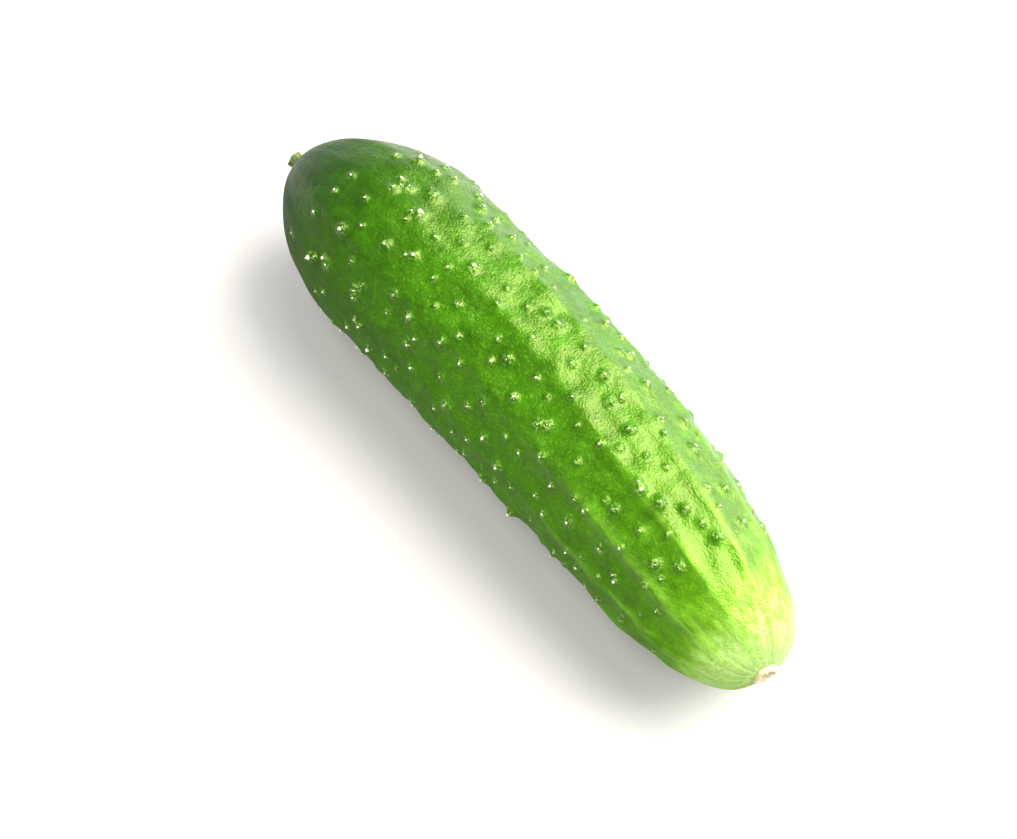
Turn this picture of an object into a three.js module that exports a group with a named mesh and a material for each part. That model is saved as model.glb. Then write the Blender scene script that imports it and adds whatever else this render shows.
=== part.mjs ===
// A short, warty pickling cucumber, as picked, lying on its side on the plane z = 0.
// Millimetres. +X runs from the stem end to the blossom end, +Z is up, and the fruit bows towards +Y.
// The origin is the centre of the whole object's footprint.
import {
  Box3,
  BufferGeometry,
  Curve,
  Float32BufferAttribute,
  Group,
  LatheGeometry,
  MathUtils,
  Mesh,
  MeshStandardMaterial,
  Vector2,
  Vector3,
} from 'three';

// The fruit as a whole.
const LENGTH = 120;
const RADIUS = 16.55;
const WIDEST_AT = 0.222; // share of the length, from the stem end
const BOW = 4; // how far the middle of the centre line stands to the side of its ends
const PRESSED = 0.4; // depth of the underside that lies flat on the surface

// Each end closes as radius = RADIUS * (1 - x ** fall) ** (1 / round), x being 0 at the widest
// section and 1 at the tip.
const STEM_DOME = { fall: 1.82, round: 1.86 };
const BLOSSOM_DOME = { fall: 3.6, round: 3.0 };

// Ribs run the length of the fruit and wind a little. They stand out most towards the blossom end.
const RIBS = 11;
const FIRST_RIB = MathUtils.degToRad(61.5); // at mid-length
const RIB_TWIST = MathUtils.degToRad(20); // from one tip to the other
const RIB_SHARPNESS = 3;
const RIB_LEVEL = 0.4; // share of a rib's height that the plain body lies at
const RIB_HEIGHT_STEM = 0.2;
const RIB_HEIGHT_BLOSSOM = 0.58;
const RIBS_GROW_FROM = 0.1;
const RIBS_FULL_AT = 0.8;
const RIBS_DIE_OUT = 0.15; // share of the length over which they sink into the blossom tip
const FADE_AT_TIPS = 0.05; // share of the length over which all relief dies out at both tips

// Slow swellings of the skin: height, waves around, waves along, phase.
const SWELLINGS = [
  { height: 0.14, around: 3, along: 2.3, phase: 4.2 },
  { height: 0.12, around: 5, along: 4.1, phase: 0.4 },
  { height: 0.1, around: 8, along: 7.7, phase: 3.5 },
];

// Warts follow a golden-angle spiral along the fruit, each nudged off its place. Only the big ones
// have a body of their own, and they thin out towards both tips.
const WARTS = 430;
const WARTS_FROM = 0.07;
const WARTS_TO = 0.93;
const FULL_WARTS_FROM = 0.2;
const FULL_WARTS_TO = 0.82;
const WART_NUDGE = 1.9;
const BIG_WART_SHARE = 0.36;
const BIG_WART_HEIGHT = 0.6;
const GOLDEN_ANGLE = Math.PI * (3 - Math.sqrt(5));

// The two ends.
const SEAT_GAP = 0.3;
const STEM_SEAT_RADIUS = 1.8;
const BLOSSOM_SEAT_RADIUS = 2.6;
const STUB = { root: 1.55, waist: 1.15, tip: 1.3, length: 1.15 };
const SCAR = { radius: 2.35, crest: 1.65, pit: 0.75, height: 0.8, pitFloor: 0.3 };

// Fineness of the mesh.
const RINGS = 66;
const SIDES = 66;
const END_SIDES = 14;
const ARC_STEPS = 3000;

// The same number between 0 and 1 every time for a wart and a purpose.
function scatter(index, purpose) {
  const wave = Math.sin(index * 12.9898 + purpose * 78.233) * 43758.5453;
  return wave - Math.floor(wave);
}

// Radius of the plain body, without ribs, swellings and warts. u is 0 at the stem tip and 1 at
// the blossom tip.
function bodyRadius(u) {
  const stemSide = u < WIDEST_AT;
  const x = stemSide ? (WIDEST_AT - u) / WIDEST_AT : (u - WIDEST_AT) / (1 - WIDEST_AT);
  const dome = stemSide ? STEM_DOME : BLOSSOM_DOME;
  return RADIUS * Math.max(1 - x ** dome.fall, 0) ** (1 / dome.round);
}

// How far the skin stands above the plain body at this place.
function relief(u, angle) {
  const grown = MathUtils.smoothstep(u, RIBS_GROW_FROM, RIBS_FULL_AT);
  const turned = angle - FIRST_RIB - RIB_TWIST * (u - 0.5);
  const crest = (0.5 + 0.5 * Math.cos(RIBS * turned)) ** RIB_SHARPNESS;
  const rib = MathUtils.lerp(RIB_HEIGHT_STEM, RIB_HEIGHT_BLOSSOM, grown);
  let height = rib * MathUtils.smoothstep(1 - u, 0, RIBS_DIE_OUT) * (crest - RIB_LEVEL);
  for (const wave of SWELLINGS) {
    height += wave.height * Math.sin(wave.around * angle + 2 * Math.PI * wave.along * u + wave.phase);
  }
  const fromTip = Math.min(u, 1 - u);
  return height * MathUtils.smoothstep(fromTip, 0, FADE_AT_TIPS);
}

// Point of the bowed centre line, and the sideways direction that leans with it.
function spine(u) {
  const slope = (4 * BOW * (1 - 2 * u)) / LENGTH;
  return {
    point: new Vector3((u - 0.5) * LENGTH, 4 * BOW * u * (1 - u), RADIUS - PRESSED),
    side: new Vector3(-slope, 1, 0).normalize(),
    heading: Math.atan(slope),
  };
}

// Point of the skin on the plain grid of stations and angles, raised by an extra height.
function skinPoint(u, angle, raised) {
  const { point, side } = spine(u);
  const radius = bodyRadius(u) + relief(u, angle) + raised;
  point.addScaledVector(side, radius * Math.cos(angle));
  point.z = Math.max(point.z + radius * Math.sin(angle), 0);
  return point;
}

// The outline of the plain body from one seat to the other, so that rings can be spaced evenly
// along the skin.
class BodyOutline extends Curve {
  constructor(from, to) {
    super();
    this.arcLengthDivisions = ARC_STEPS;
    this.from = from;
    this.to = to;
  }

  station(t) {
    return MathUtils.lerp(this.from, this.to, (1 - Math.cos(Math.PI * t)) / 2);
  }

  getPoint(t) {
    const u = this.station(t);
    return new Vector3(u * LENGTH, bodyRadius(u), 0);
  }
}

// Share of the length at which the body first reaches a radius, on its way from either tip.
function seatStation(radius, dome, reach) {
  return reach * (1 - (1 - (radius / RADIUS) ** dome.round) ** (1 / dome.fall));
}

const STEM_SEAT = seatStation(STEM_SEAT_RADIUS, STEM_DOME, WIDEST_AT);
const BLOSSOM_SEAT = 1 - seatStation(BLOSSOM_SEAT_RADIUS, BLOSSOM_DOME, 1 - WIDEST_AT);

// Stations of all rings, evenly spaced along the skin.
function ringStations() {
  const outline = new BodyOutline(STEM_SEAT, BLOSSOM_SEAT);
  const stations = [];
  for (let ring = 0; ring < RINGS; ring++) {
    const t = outline.getUtoTmapping(ring / (RINGS - 1));
    stations.push(outline.station(t));
  }
  return stations;
}

// Big warts as station and angle, without those that would touch the surface below.
function bigWarts() {
  const warts = [];
  for (let index = 0; index < WARTS; index++) {
    const spread = (index + 0.5) / WARTS;
    const along = (scatter(index, 1) - 0.5) * 2 * WART_NUDGE;
    const across = (scatter(index, 2) - 0.5) * 2 * WART_NUDGE;
    const u = MathUtils.lerp(WARTS_FROM, WARTS_TO, spread) + along / LENGTH;
    const angle = (index * GOLDEN_ANGLE + across / RADIUS) % (2 * Math.PI);
    const rising = MathUtils.smoothstep(u, WARTS_FROM, FULL_WARTS_FROM);
    const falling = 1 - MathUtils.smoothstep(u, FULL_WARTS_TO, WARTS_TO);
    const kept = scatter(index, 3) < rising * falling;
    const big = scatter(index, 4) < BIG_WART_SHARE;
    const clear = skinPoint(u, angle, 0).z > BIG_WART_HEIGHT;
    if (kept && big && clear) {
      warts.push({ u, angle });
    }
  }
  return warts;
}

// Index of the station nearest to u.
function nearestRing(stations, u) {
  let best = 0;
  stations.forEach((station, ring) => {
    if (Math.abs(station - u) < Math.abs(stations[best] - u)) {
      best = ring;
    }
  });
  return best;
}

// The fruit's skin: rings of points with a pole in the middle of each seat. The grid point nearest
// to each big wart moves onto the wart and rises.
function fruitGeometry() {
  const stations = ringStations();
  const points = [];
  for (const u of stations) {
    for (let side = 0; side < SIDES; side++) {
      points.push(skinPoint(u, (side / SIDES) * 2 * Math.PI, 0));
    }
  }
  for (const { u, angle } of bigWarts()) {
    const ring = nearestRing(stations, u);
    const side = Math.round((angle / (2 * Math.PI)) * SIDES) % SIDES;
    points[ring * SIDES + side] = skinPoint(u, angle, BIG_WART_HEIGHT);
  }
  const stemPole = points.push(spine(STEM_SEAT).point) - 1;
  const blossomPole = points.push(spine(BLOSSOM_SEAT).point) - 1;

  const faces = [];
  for (let side = 0; side < SIDES; side++) {
    const next = (side + 1) % SIDES;
    const last = (RINGS - 1) * SIDES;
    faces.push(stemPole, next, side);
    faces.push(blossomPole, last + side, last + next);
    for (let ring = 0; ring < RINGS - 1; ring++) {
      const here = ring * SIDES;
      const there = here + SIDES;
      faces.push(here + side, here + next, there + next);
      faces.push(here + side, there + next, there + side);
    }
  }

  const geometry = new BufferGeometry();
  geometry.setAttribute('position', new Float32BufferAttribute(points.flatMap((p) => p.toArray()), 3));
  geometry.setIndex(faces);
  geometry.computeVertexNormals();
  return geometry;
}

// What is left of the stalk: wide where it joins the fruit, waisted, and torn off square.
function stubGeometry() {
  const profile = [
    new Vector2(0, 0),
    new Vector2(STUB.root, 0),
    new Vector2(STUB.waist, STUB.length * 0.45),
    new Vector2(STUB.tip, STUB.length * 0.85),
    new Vector2(STUB.tip * 0.85, STUB.length),
    new Vector2(0, STUB.length),
  ];
  return new LatheGeometry(profile, END_SIDES).rotateZ(Math.PI / 2);
}

// The corky scar of the flower: a low ring around a pit.
function scarGeometry() {
  const profile = [
    new Vector2(0, 0),
    new Vector2(SCAR.radius, 0),
    new Vector2(SCAR.radius * 0.95, SCAR.height * 0.6),
    new Vector2(SCAR.crest, SCAR.height),
    new Vector2(SCAR.pit, SCAR.pitFloor),
    new Vector2(0, SCAR.pitFloor),
  ];
  return new LatheGeometry(profile, END_SIDES).rotateZ(-Math.PI / 2);
}

function namedMesh(name, geometry, color, roughness) {
  const mesh = new Mesh(geometry, new MeshStandardMaterial({ color, roughness, metalness: 0 }));
  mesh.name = name;
  return mesh;
}

// Places a small piece on one tip, a gap away from its seat and in line with the fruit there.
function seatOnTip(mesh, u, outwards) {
  const { point, heading } = spine(u);
  mesh.position.copy(point);
  mesh.rotation.z = heading;
  mesh.translateX(outwards * SEAT_GAP);
  return mesh;
}

function buildCucumber() {
  const cucumber = new Group();
  cucumber.name = 'cucumber';
  cucumber.add(namedMesh('fruit', fruitGeometry(), 0x4f9413, 0.35));
  cucumber.add(seatOnTip(namedMesh('stem_stub', stubGeometry(), 0x8a8f4a, 0.8), STEM_SEAT, -1));
  cucumber.add(seatOnTip(namedMesh('blossom_scar', scarGeometry(), 0xcdb48c, 0.85), BLOSSOM_SEAT, 1));

  const box = new Box3().setFromObject(cucumber, true);
  const middle = box.getCenter(new Vector3());
  cucumber.position.set(-middle.x, -middle.y, -box.min.z);
  return cucumber;
}

export default buildCucumber();
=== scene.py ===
"""A short, warty pickling cucumber, as picked, lying on a pale studio floor.

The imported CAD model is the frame. The skin, the spines, the stub of the stalk and the scar of the
flower are made here as fine meshes that stand for the plain CAD solids. All sizes are in
millimetres until a mesh is stored, which turns them into metres.
"""
import logging
import math
from dataclasses import dataclass, field
from enum import Enum

import bpy
import numpy as np
from mathutils import Matrix, Vector


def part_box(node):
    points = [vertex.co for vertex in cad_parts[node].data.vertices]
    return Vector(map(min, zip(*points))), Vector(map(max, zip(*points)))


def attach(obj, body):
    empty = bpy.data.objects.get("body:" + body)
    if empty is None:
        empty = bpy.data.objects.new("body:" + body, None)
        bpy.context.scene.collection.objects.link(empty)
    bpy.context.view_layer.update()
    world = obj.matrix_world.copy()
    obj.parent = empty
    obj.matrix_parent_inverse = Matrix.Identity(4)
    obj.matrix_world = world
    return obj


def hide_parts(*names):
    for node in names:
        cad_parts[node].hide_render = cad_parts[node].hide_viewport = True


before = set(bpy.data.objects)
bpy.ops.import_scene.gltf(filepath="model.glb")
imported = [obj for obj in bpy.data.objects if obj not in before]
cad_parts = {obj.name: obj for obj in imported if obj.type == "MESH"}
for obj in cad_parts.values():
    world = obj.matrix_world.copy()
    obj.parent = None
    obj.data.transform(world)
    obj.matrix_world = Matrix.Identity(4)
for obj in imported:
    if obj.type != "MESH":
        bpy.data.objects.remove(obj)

Array = np.ndarray
Colour = tuple[float, float, float]
Factors = tuple[float, float, float]
Span = tuple[float, float]
Stops = tuple[tuple[float, Colour], ...]
Socket = bpy.types.NodeSocket

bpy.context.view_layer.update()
BODY = "root"
MM = 0.001
TURN = 2.0 * math.pi
GOLDEN_ANGLE = math.pi * (3.0 - math.sqrt(5.0))
UP = np.array([0.0, 0.0, 1.0])

log = logging.getLogger("cucumber")


# ---------------------------------------------------------------------------------------------
# Small helpers for arrays and meshes
# ---------------------------------------------------------------------------------------------


def smoothstep(value: Array, low: float, high: float) -> Array:
    """Rises from 0 at low to 1 at high as 3t^2 - 2t^3."""
    t = np.clip((value - low) / (high - low), 0.0, 1.0)
    return t * t * (3.0 - 2.0 * t)


class Draw(Enum):
    """What a scattered number is for. Each purpose has numbers of its own."""

    ALONG = 1
    ACROSS = 2
    KEPT = 3
    BIG = 4
    REACH = 5
    HEIGHT = 6
    TWIN = 7
    TWIN_TURN = 8
    LEAN_ALONG = 9
    LEAN_ACROSS = 10
    SPINE_RADIUS = 11
    SPINE_SLIMNESS = 12


def scatter(index: Array, purpose: Draw) -> Array:
    """Gives the same number between 0 and 1 every time for an index and a purpose.

    The number is what is left behind the point of a very tall sine wave.

    Args:
        index: index of each wart or spine.
        purpose: what the number is for.

    Returns:
        One number for each index.
    """
    wave = np.sin(index * 12.9898 + purpose.value * 78.233) * 43758.5453
    return wave - np.floor(wave)


def unit(vectors: Array) -> Array:
    """Scales each vector of an array to length 1."""
    return vectors / np.linalg.norm(vectors, axis=-1, keepdims=True)


def grid_corners(rings: int, sides: int) -> tuple[Array, Array]:
    """Faces of a tube of rings, closed by a pole at each end.

    The points are ring after ring, then the first pole and the last pole.

    Args:
        rings: number of rings.
        sides: number of points in each ring.

    Returns:
        The quads as rows of four indices, and the pole triangles as rows of three.
    """
    ring, side = np.meshgrid(np.arange(rings - 1), np.arange(sides), indexing="ij")
    here = ring * sides
    following = (side + 1) % sides
    quads = np.stack(
        [here + side, here + following, here + sides + following, here + sides + side], axis=-1
    ).reshape(-1, 4)
    around = np.arange(sides)
    onward = (around + 1) % sides
    last = (rings - 1) * sides
    first_pole = np.full(sides, rings * sides)
    fans = np.concatenate(
        [
            np.stack([first_pole, onward, around], axis=-1),
            np.stack([first_pole + 1, last + around, last + onward], axis=-1),
        ]
    )
    return quads, fans


def store_mesh(name: str, points: Array, quads: Array, triangles: Array) -> bpy.types.Object:
    """Puts points and faces into a smooth-shaded mesh object at the origin.

    Args:
        name: name of the object and its mesh.
        points: rows of x, y, z in millimetres.
        quads: rows of four indices.
        triangles: rows of three indices.

    Returns:
        The new object, linked into the scene.
    """
    mesh = bpy.data.meshes.new(name)
    corners = np.concatenate([quads.ravel(), triangles.ravel()]).astype(np.int32)
    quad_starts = np.arange(len(quads)) * 4
    triangle_starts = len(quads) * 4 + np.arange(len(triangles)) * 3
    starts = np.concatenate([quad_starts, triangle_starts]).astype(np.int32)
    mesh.vertices.add(len(points))
    mesh.vertices.foreach_set("co", (points * MM).astype(np.float32).ravel())
    mesh.loops.add(len(corners))
    mesh.loops.foreach_set("vertex_index", corners)
    mesh.polygons.add(len(starts))
    mesh.polygons.foreach_set("loop_start", starts)
    mesh.polygons.foreach_set("use_smooth", np.ones(len(starts), dtype=bool))
    mesh.update(calc_edges=True)
    mesh.validate()
    piece = bpy.data.objects.new(name, mesh)
    bpy.context.scene.collection.objects.link(piece)
    return piece


def store_value(piece: bpy.types.Object, name: str, values: Array) -> None:
    """Keeps one number for each point of a piece, for its material to read."""
    attribute = piece.data.attributes.new(name, "FLOAT", "POINT")
    attribute.data.foreach_set("value", values.astype(np.float32).ravel())


def store_vector(piece: bpy.types.Object, name: str, values: Array) -> None:
    """Keeps one vector for each point of a piece, for its material to read."""
    attribute = piece.data.attributes.new(name, "FLOAT_VECTOR", "POINT")
    attribute.data.foreach_set("vector", values.astype(np.float32).ravel())


# ---------------------------------------------------------------------------------------------
# Nodes
# ---------------------------------------------------------------------------------------------


class Wiring:
    """Adds nodes to one tree and joins them.

    The Mix node keeps sockets for numbers and vectors before those for colours, so the colour ones
    are found by their places.
    """

    COLOUR_MIX_INPUTS = (0, 6, 7)
    COLOUR_MIX_OUTPUT = 2

    def __init__(self, tree: bpy.types.NodeTree) -> None:
        """Starts from an empty tree."""
        self.tree = tree
        tree.nodes.clear()

    def add(self, kind: str, **settings: object) -> bpy.types.Node:
        """Adds a node and sets its own settings.

        Args:
            kind: the node's type.
            settings: names and values of its settings.

        Returns:
            The node.
        """
        node = self.tree.nodes.new(kind)
        for key, value in settings.items():
            setattr(node, key, value)
        return node

    def feed(self, socket: Socket, value: object) -> None:
        """Links a socket from another one, or sets it to a plain value.

        Args:
            socket: the input to feed.
            value: another node's output, or a plain value.
        """
        if isinstance(value, Socket):
            self.tree.links.new(value, socket)
        else:
            socket.default_value = value

    def attribute(self, name: str, output: str = "Fac") -> Socket:
        """Reads a value or vector kept on the piece's points."""
        return self.add("ShaderNodeAttribute", attribute_name=name).outputs[output]

    def math(self, operation: str, *values: object, clamp: bool = False) -> Socket:
        """Works out one number from others.

        Args:
            operation: the Math node's operation.
            values: outputs or plain numbers, in the order of its inputs.
            clamp: whether the result is kept between 0 and 1.

        Returns:
            The result.
        """
        node = self.add("ShaderNodeMath", operation=operation, use_clamp=clamp)
        for socket, value in zip(node.inputs, values):
            self.feed(socket, value)
        return node.outputs[0]

    def scaled(self, vector: Socket, factors: Factors) -> Socket:
        """Multiplies a vector by three factors.

        Args:
            vector: the vector.
            factors: one factor for each of its parts.

        Returns:
            The scaled vector.
        """
        node = self.add("ShaderNodeVectorMath", operation="MULTIPLY")
        self.feed(node.inputs[0], vector)
        node.inputs[1].default_value = factors
        return node.outputs[0]

    def ramped(self, value: object, low: float, high: float) -> Socket:
        """Rises smoothly from 0 at low to 1 at high.

        Args:
            value: the value that is read.
            low: where the rise starts.
            high: where it ends.

        Returns:
            The share, between 0 and 1.
        """
        node = self.add("ShaderNodeMapRange", interpolation_type="SMOOTHSTEP")
        for key, given in (("Value", value), ("From Min", low), ("From Max", high)):
            self.feed(node.inputs[key], given)
        return node.outputs[0]

    def noise(self, vector: object, scale: object, detail: float = 2.0) -> Socket:
        """Cloudy pattern between 0 and 1 around a mean of one half.

        Args:
            vector: place that the pattern reads.
            scale: waves per unit of the vector.
            detail: number of finer layers on top.

        Returns:
            The pattern.
        """
        node = self.add("ShaderNodeTexNoise")
        settings = (("Vector", vector), ("Scale", scale), ("Detail", detail), ("Roughness", 0.5))
        for key, given in settings:
            self.feed(node.inputs[key], given)
        return node.outputs["Fac"]

    def mixed(
        self, factor: object, first: object, second: object, blend: str = "MIX"
    ) -> Socket:
        """Mixes two colours.

        Args:
            factor: share of the second colour.
            first: an output, or a plain colour.
            second: an output, or a plain colour.
            blend: the Mix node's way of mixing.

        Returns:
            The mixed colour.
        """
        node = self.add("ShaderNodeMix", data_type="RGBA", blend_type=blend)
        amount, colour_a, colour_b = (node.inputs[place] for place in self.COLOUR_MIX_INPUTS)
        self.feed(amount, factor)
        for socket, value in ((colour_a, first), (colour_b, second)):
            self.feed(socket, (*value, 1.0) if isinstance(value, tuple) else value)
        return node.outputs[self.COLOUR_MIX_OUTPUT]

    def colour_ramp(self, value: object, stops: Stops) -> Socket:
        """Turns a value into a colour between the nearest stops.

        Args:
            value: the value that is read.
            stops: places between 0 and 1, each with its colour.

        Returns:
            The colour.
        """
        node = self.add("ShaderNodeValToRGB")
        node.color_ramp.interpolation = "EASE"
        elements = node.color_ramp.elements
        while len(elements) < len(stops):
            elements.new(0.5)
        for element, (place, colour) in zip(elements, stops):
            element.position = place
            element.color = (*colour, 1.0)
        self.feed(node.inputs["Fac"], value)
        return node.outputs["Color"]


def new_material(name: str) -> tuple[bpy.types.Material, Wiring, bpy.types.Node]:
    """Makes a material with nothing but a Principled shader on its output.

    Args:
        name: name of the material.

    Returns:
        The material, its nodes and the shader.
    """
    material = bpy.data.materials.new(name)
    material.use_nodes = True
    wiring = Wiring(material.node_tree)
    shader = wiring.add("ShaderNodeBsdfPrincipled")
    out = wiring.add("ShaderNodeOutputMaterial")
    wiring.feed(out.inputs["Surface"], shader.outputs[0])
    return material, wiring, shader


def grain_group() -> bpy.types.NodeTree:
    """Fine grain shared by skin, stalk and cork: a height and a shade from two sizes of noise.

    The height is the coarse noise plus the fine share of the fine noise. The shade is the coarse
    noise with twice its contrast.

    Returns:
        The node group, which is built once.
    """
    name = "fine_grain"
    if name in bpy.data.node_groups:
        return bpy.data.node_groups[name]
    tree = bpy.data.node_groups.new(name, "ShaderNodeTree")
    wiring = Wiring(tree)
    tree.interface.new_socket("Vector", in_out="INPUT", socket_type="NodeSocketVector")
    for socket in ("Coarse Scale", "Fine Scale", "Fine Share"):
        tree.interface.new_socket(socket, in_out="INPUT", socket_type="NodeSocketFloat")
    for socket in ("Height", "Shade"):
        tree.interface.new_socket(socket, in_out="OUTPUT", socket_type="NodeSocketFloat")
    given = wiring.add("NodeGroupInput").outputs
    coarse = wiring.noise(given["Vector"], given["Coarse Scale"], detail=2.0)
    fine = wiring.noise(given["Vector"], given["Fine Scale"], detail=1.0)
    height = wiring.math("MULTIPLY_ADD", fine, given["Fine Share"], coarse)
    shade = wiring.math("MULTIPLY_ADD", wiring.math("SUBTRACT", coarse, 0.5), 2.0, 0.5, clamp=True)
    out = wiring.add("NodeGroupOutput")
    wiring.feed(out.inputs["Height"], height)
    wiring.feed(out.inputs["Shade"], shade)
    return tree


@dataclass(frozen=True)
class Grain:
    """Fine grain of one finish: waves per unit of the vector, and the fine one's share."""

    coarse: float
    fine: float
    fine_share: float

    def place(self, wiring: Wiring, vector: Socket) -> bpy.types.Node:
        """Adds the grain group to a material.

        Args:
            wiring: the material's nodes.
            vector: the vector that the grain reads.

        Returns:
            The group node, with the outputs Height and Shade.
        """
        node = wiring.add("ShaderNodeGroup", node_tree=grain_group())
        wiring.feed(node.inputs["Vector"], vector)
        node.inputs["Coarse Scale"].default_value = self.coarse
        node.inputs["Fine Scale"].default_value = self.fine
        node.inputs["Fine Share"].default_value = self.fine_share
        return node


# ---------------------------------------------------------------------------------------------
# The fruit's form
# ---------------------------------------------------------------------------------------------


class Tip(Enum):
    """The two ends of the fruit, as the way that each one points along it."""

    STEM = -1
    BLOSSOM = 1


@dataclass(frozen=True)
class Dome:
    """How an end closes: radius = widest * (1 - x^fall)^(1 / round), x from 0 to 1 at the tip."""

    fall: float
    round: float


@dataclass(frozen=True)
class Swelling:
    """A slow wave of the skin: its height, its waves around and along, and where it starts."""

    height: float
    around: int
    along: float
    phase: float


@dataclass(frozen=True)
class Wave:
    """A cosine around a piece: its height, how many waves it has and where it starts."""

    height: float
    around: int
    phase: float = 0.0

    def at(self, turn: Array) -> Array:
        """Height of the wave at each angle."""
        return self.height * np.cos(self.around * turn + self.phase)


@dataclass(frozen=True)
class Ripples:
    """Small random swells, as a sum of cosine waves with whole numbers of waves around.

    Each wave has a seeded length between shortest and longest and a seeded direction. stretch is
    how much longer the swells are along the fruit than around it.
    """

    seed: int
    waves: int
    shortest: float
    longest: float
    height: float
    stretch: float = 1.0

    def at(self, distance: Array, angle: Array, radius: float) -> Array:
        """Height of the swells.

        Args:
            distance: distance along the fruit.
            angle: angle around the fruit.
            radius: radius at which the waves around have their true length.

        Returns:
            The height at each place, in millimetres, with the given height as its spread.
        """
        draw = np.random.default_rng(self.seed)
        wavelength = draw.uniform(self.shortest, self.longest, self.waves)
        heading = draw.uniform(0.0, TURN, self.waves)
        phase = draw.uniform(0.0, TURN, self.waves)
        along = TURN / wavelength * np.cos(heading) / self.stretch
        around = np.round(TURN / wavelength * np.sin(heading) * radius)
        total = np.zeros(np.broadcast(distance, angle).shape)
        for wave in range(self.waves):
            total += np.cos(along[wave] * distance + around[wave] * angle + phase[wave])
        return self.height * total * math.sqrt(2.0 / self.waves)


@dataclass(frozen=True)
class FruitForm:
    """The fruit's body as a surface of station and angle.

    The station runs from 0 at the stem tip to 1 at the blossom tip. The angle is 0 on the side
    that the fruit bows towards and a quarter turn at the top. The base surface is a bowed centre
    line plus a radius; finer relief is then raised along the base's own normal.
    """

    length: float = 120.0
    radius: float = 16.55
    widest_at: float = 0.222
    bow: float = 4.0
    pressed: float = 0.4
    press_blend: float = 0.25
    stem_dome: Dome = Dome(fall=1.82, round=1.86)
    blossom_dome: Dome = Dome(fall=3.6, round=3.0)
    ribs: int = 11
    first_rib: float = math.radians(61.5)
    rib_twist: float = math.radians(20.0)
    rib_sharpness: float = 3.0
    rib_level: float = 0.4
    rib_stem: float = 0.20
    rib_blossom: float = 0.58
    ribs_grow: Span = (0.10, 0.80)
    ribs_die_out: float = 0.15
    belly: float = math.radians(215.0)
    belly_edge: Span = (-0.20, 0.60)
    tip_fade: float = 0.05
    swellings: tuple[Swelling, ...] = (
        Swelling(height=0.14, around=3, along=2.3, phase=4.2),
        Swelling(height=0.12, around=5, along=4.1, phase=0.4),
        Swelling(height=0.10, around=8, along=7.7, phase=3.5),
    )
    lumps: Ripples = Ripples(
        seed=11, waves=60, shortest=4.0, longest=9.0, height=0.095, stretch=1.2
    )
    ripples: Ripples = Ripples(
        seed=12, waves=80, shortest=2.0, longest=4.0, height=0.018, stretch=1.2
    )
    swells_grow: Span = (0.03, 0.28)
    swells_fade: Span = (0.86, 0.98)

    def body_radius(self, u: Array) -> Array:
        """Radius of the plain body, closed by a dome at each end.

        Args:
            u: station of each place.

        Returns:
            The radius at each place.
        """
        stem_x = np.clip((self.widest_at - u) / self.widest_at, 0.0, 1.0)
        blossom_x = np.clip((u - self.widest_at) / (1.0 - self.widest_at), 0.0, 1.0)
        stem = (1.0 - stem_x**self.stem_dome.fall) ** (1.0 / self.stem_dome.round)
        blossom = (1.0 - blossom_x**self.blossom_dome.fall) ** (1.0 / self.blossom_dome.round)
        return self.radius * np.where(u < self.widest_at, stem, blossom)

    def rib_crest(self, u: Array, angle: Array) -> Array:
        """1 on a rib's crest, 0 between two ribs: a sharpened cosine that winds by the twist."""
        turned = angle - self.first_rib - self.rib_twist * (u - 0.5)
        return (0.5 + 0.5 * np.cos(self.ribs * turned)) ** self.rib_sharpness

    def belly_share(self, angle: Array) -> Array:
        """1 in the middle of the side that lay on the soil, the shaded underside, 0 a little over a
        quarter turn away.
        """
        return smoothstep(np.cos(angle - self.belly), *self.belly_edge)

    def relief(self, u: Array, angle: Array) -> Array:
        """Height of ribs and swellings over the plain body, dying out at the tips.

        Args:
            u: station of each place.
            angle: angle of each place.

        Returns:
            The height at each place.
        """
        grown = smoothstep(u, *self.ribs_grow)
        rib = self.rib_stem + (self.rib_blossom - self.rib_stem) * grown
        rib = rib * smoothstep(1.0 - u, 0.0, self.ribs_die_out)
        height = rib * (self.rib_crest(u, angle) - self.rib_level)
        for wave in self.swellings:
            height = height + wave.height * np.sin(
                wave.around * angle + TURN * wave.along * u + wave.phase
            )
        return height * smoothstep(np.minimum(u, 1.0 - u), 0.0, self.tip_fade)

    def centre(self, u: Array) -> Array:
        """Points of the centre line: a parabola that bows to the side, level above the floor.

        Args:
            u: station of each point.

        Returns:
            The points.
        """
        x = (u - 0.5) * self.length
        y = 4.0 * self.bow * u * (1.0 - u)
        return np.stack([x, y, np.full_like(x, self.radius - self.pressed)], axis=-1)

    def heading(self, u: Array) -> Array:
        """Unit direction of the centre line, from the stem end to the blossom end."""
        slope = 4.0 * self.bow * (1.0 - 2.0 * u) / self.length
        return unit(np.stack([np.ones_like(slope), slope, np.zeros_like(slope)], axis=-1))

    def outward(self, u: Array, angle: Array) -> Array:
        """Unit direction away from the centre line at an angle, square to the centre line.

        Args:
            u: station of each place.
            angle: angle of each place.

        Returns:
            The directions.
        """
        along = self.heading(u)
        side = np.stack([-along[..., 1], along[..., 0], along[..., 2]], axis=-1)
        return side * np.cos(angle)[..., None] + UP * np.sin(angle)[..., None]

    def base(self, u: Array, angle: Array) -> Array:
        """Points of the base surface: the centre line plus the radius and its relief."""
        radius = self.body_radius(u) + self.relief(u, angle)
        return self.centre(u) + self.outward(u, angle) * radius[..., None]

    def normal(self, u: Array, angle: Array) -> Array:
        """Unit normals of the base surface, from small steps along and around it.

        Args:
            u: station of each place.
            angle: angle of each place.

        Returns:
            The normals, pointing outwards.
        """
        step = 1e-4
        low = np.clip(u - step, 0.0, 1.0)
        high = np.clip(u + step, 0.0, 1.0)
        along = self.base(high, angle) - self.base(low, angle)
        around = self.base(u, angle + step) - self.base(u, angle - step)
        return unit(np.cross(around, along))

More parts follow.
